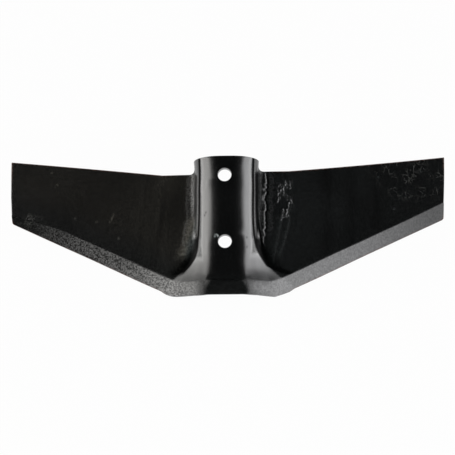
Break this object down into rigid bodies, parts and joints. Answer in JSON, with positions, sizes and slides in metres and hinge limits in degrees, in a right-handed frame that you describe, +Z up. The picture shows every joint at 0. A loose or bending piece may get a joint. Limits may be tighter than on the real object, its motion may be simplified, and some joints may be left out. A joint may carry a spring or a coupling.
{
  "type": "plough share",
  "caption": "Wide wing share pressed from one steel plate: an arched neck with bolt holes fits over a tine, and the swept wings have a ground cutting edge.",
  "frame": {"origin": "on the ground under the middle of the share's box, with the share standing on its level cutting edges", "axes": "+X across the wings to the share's left as it is drawn forward, +Y from the nose back towards the neck's top, +Z up"},
  "size_m": [0.433, 0.1686, 0.0936],
  "materials": {
    "black_paint": "gloss"
  },
  "bodies": {
    "root": {"share": "black_paint"}
  },
  "joints": []
}
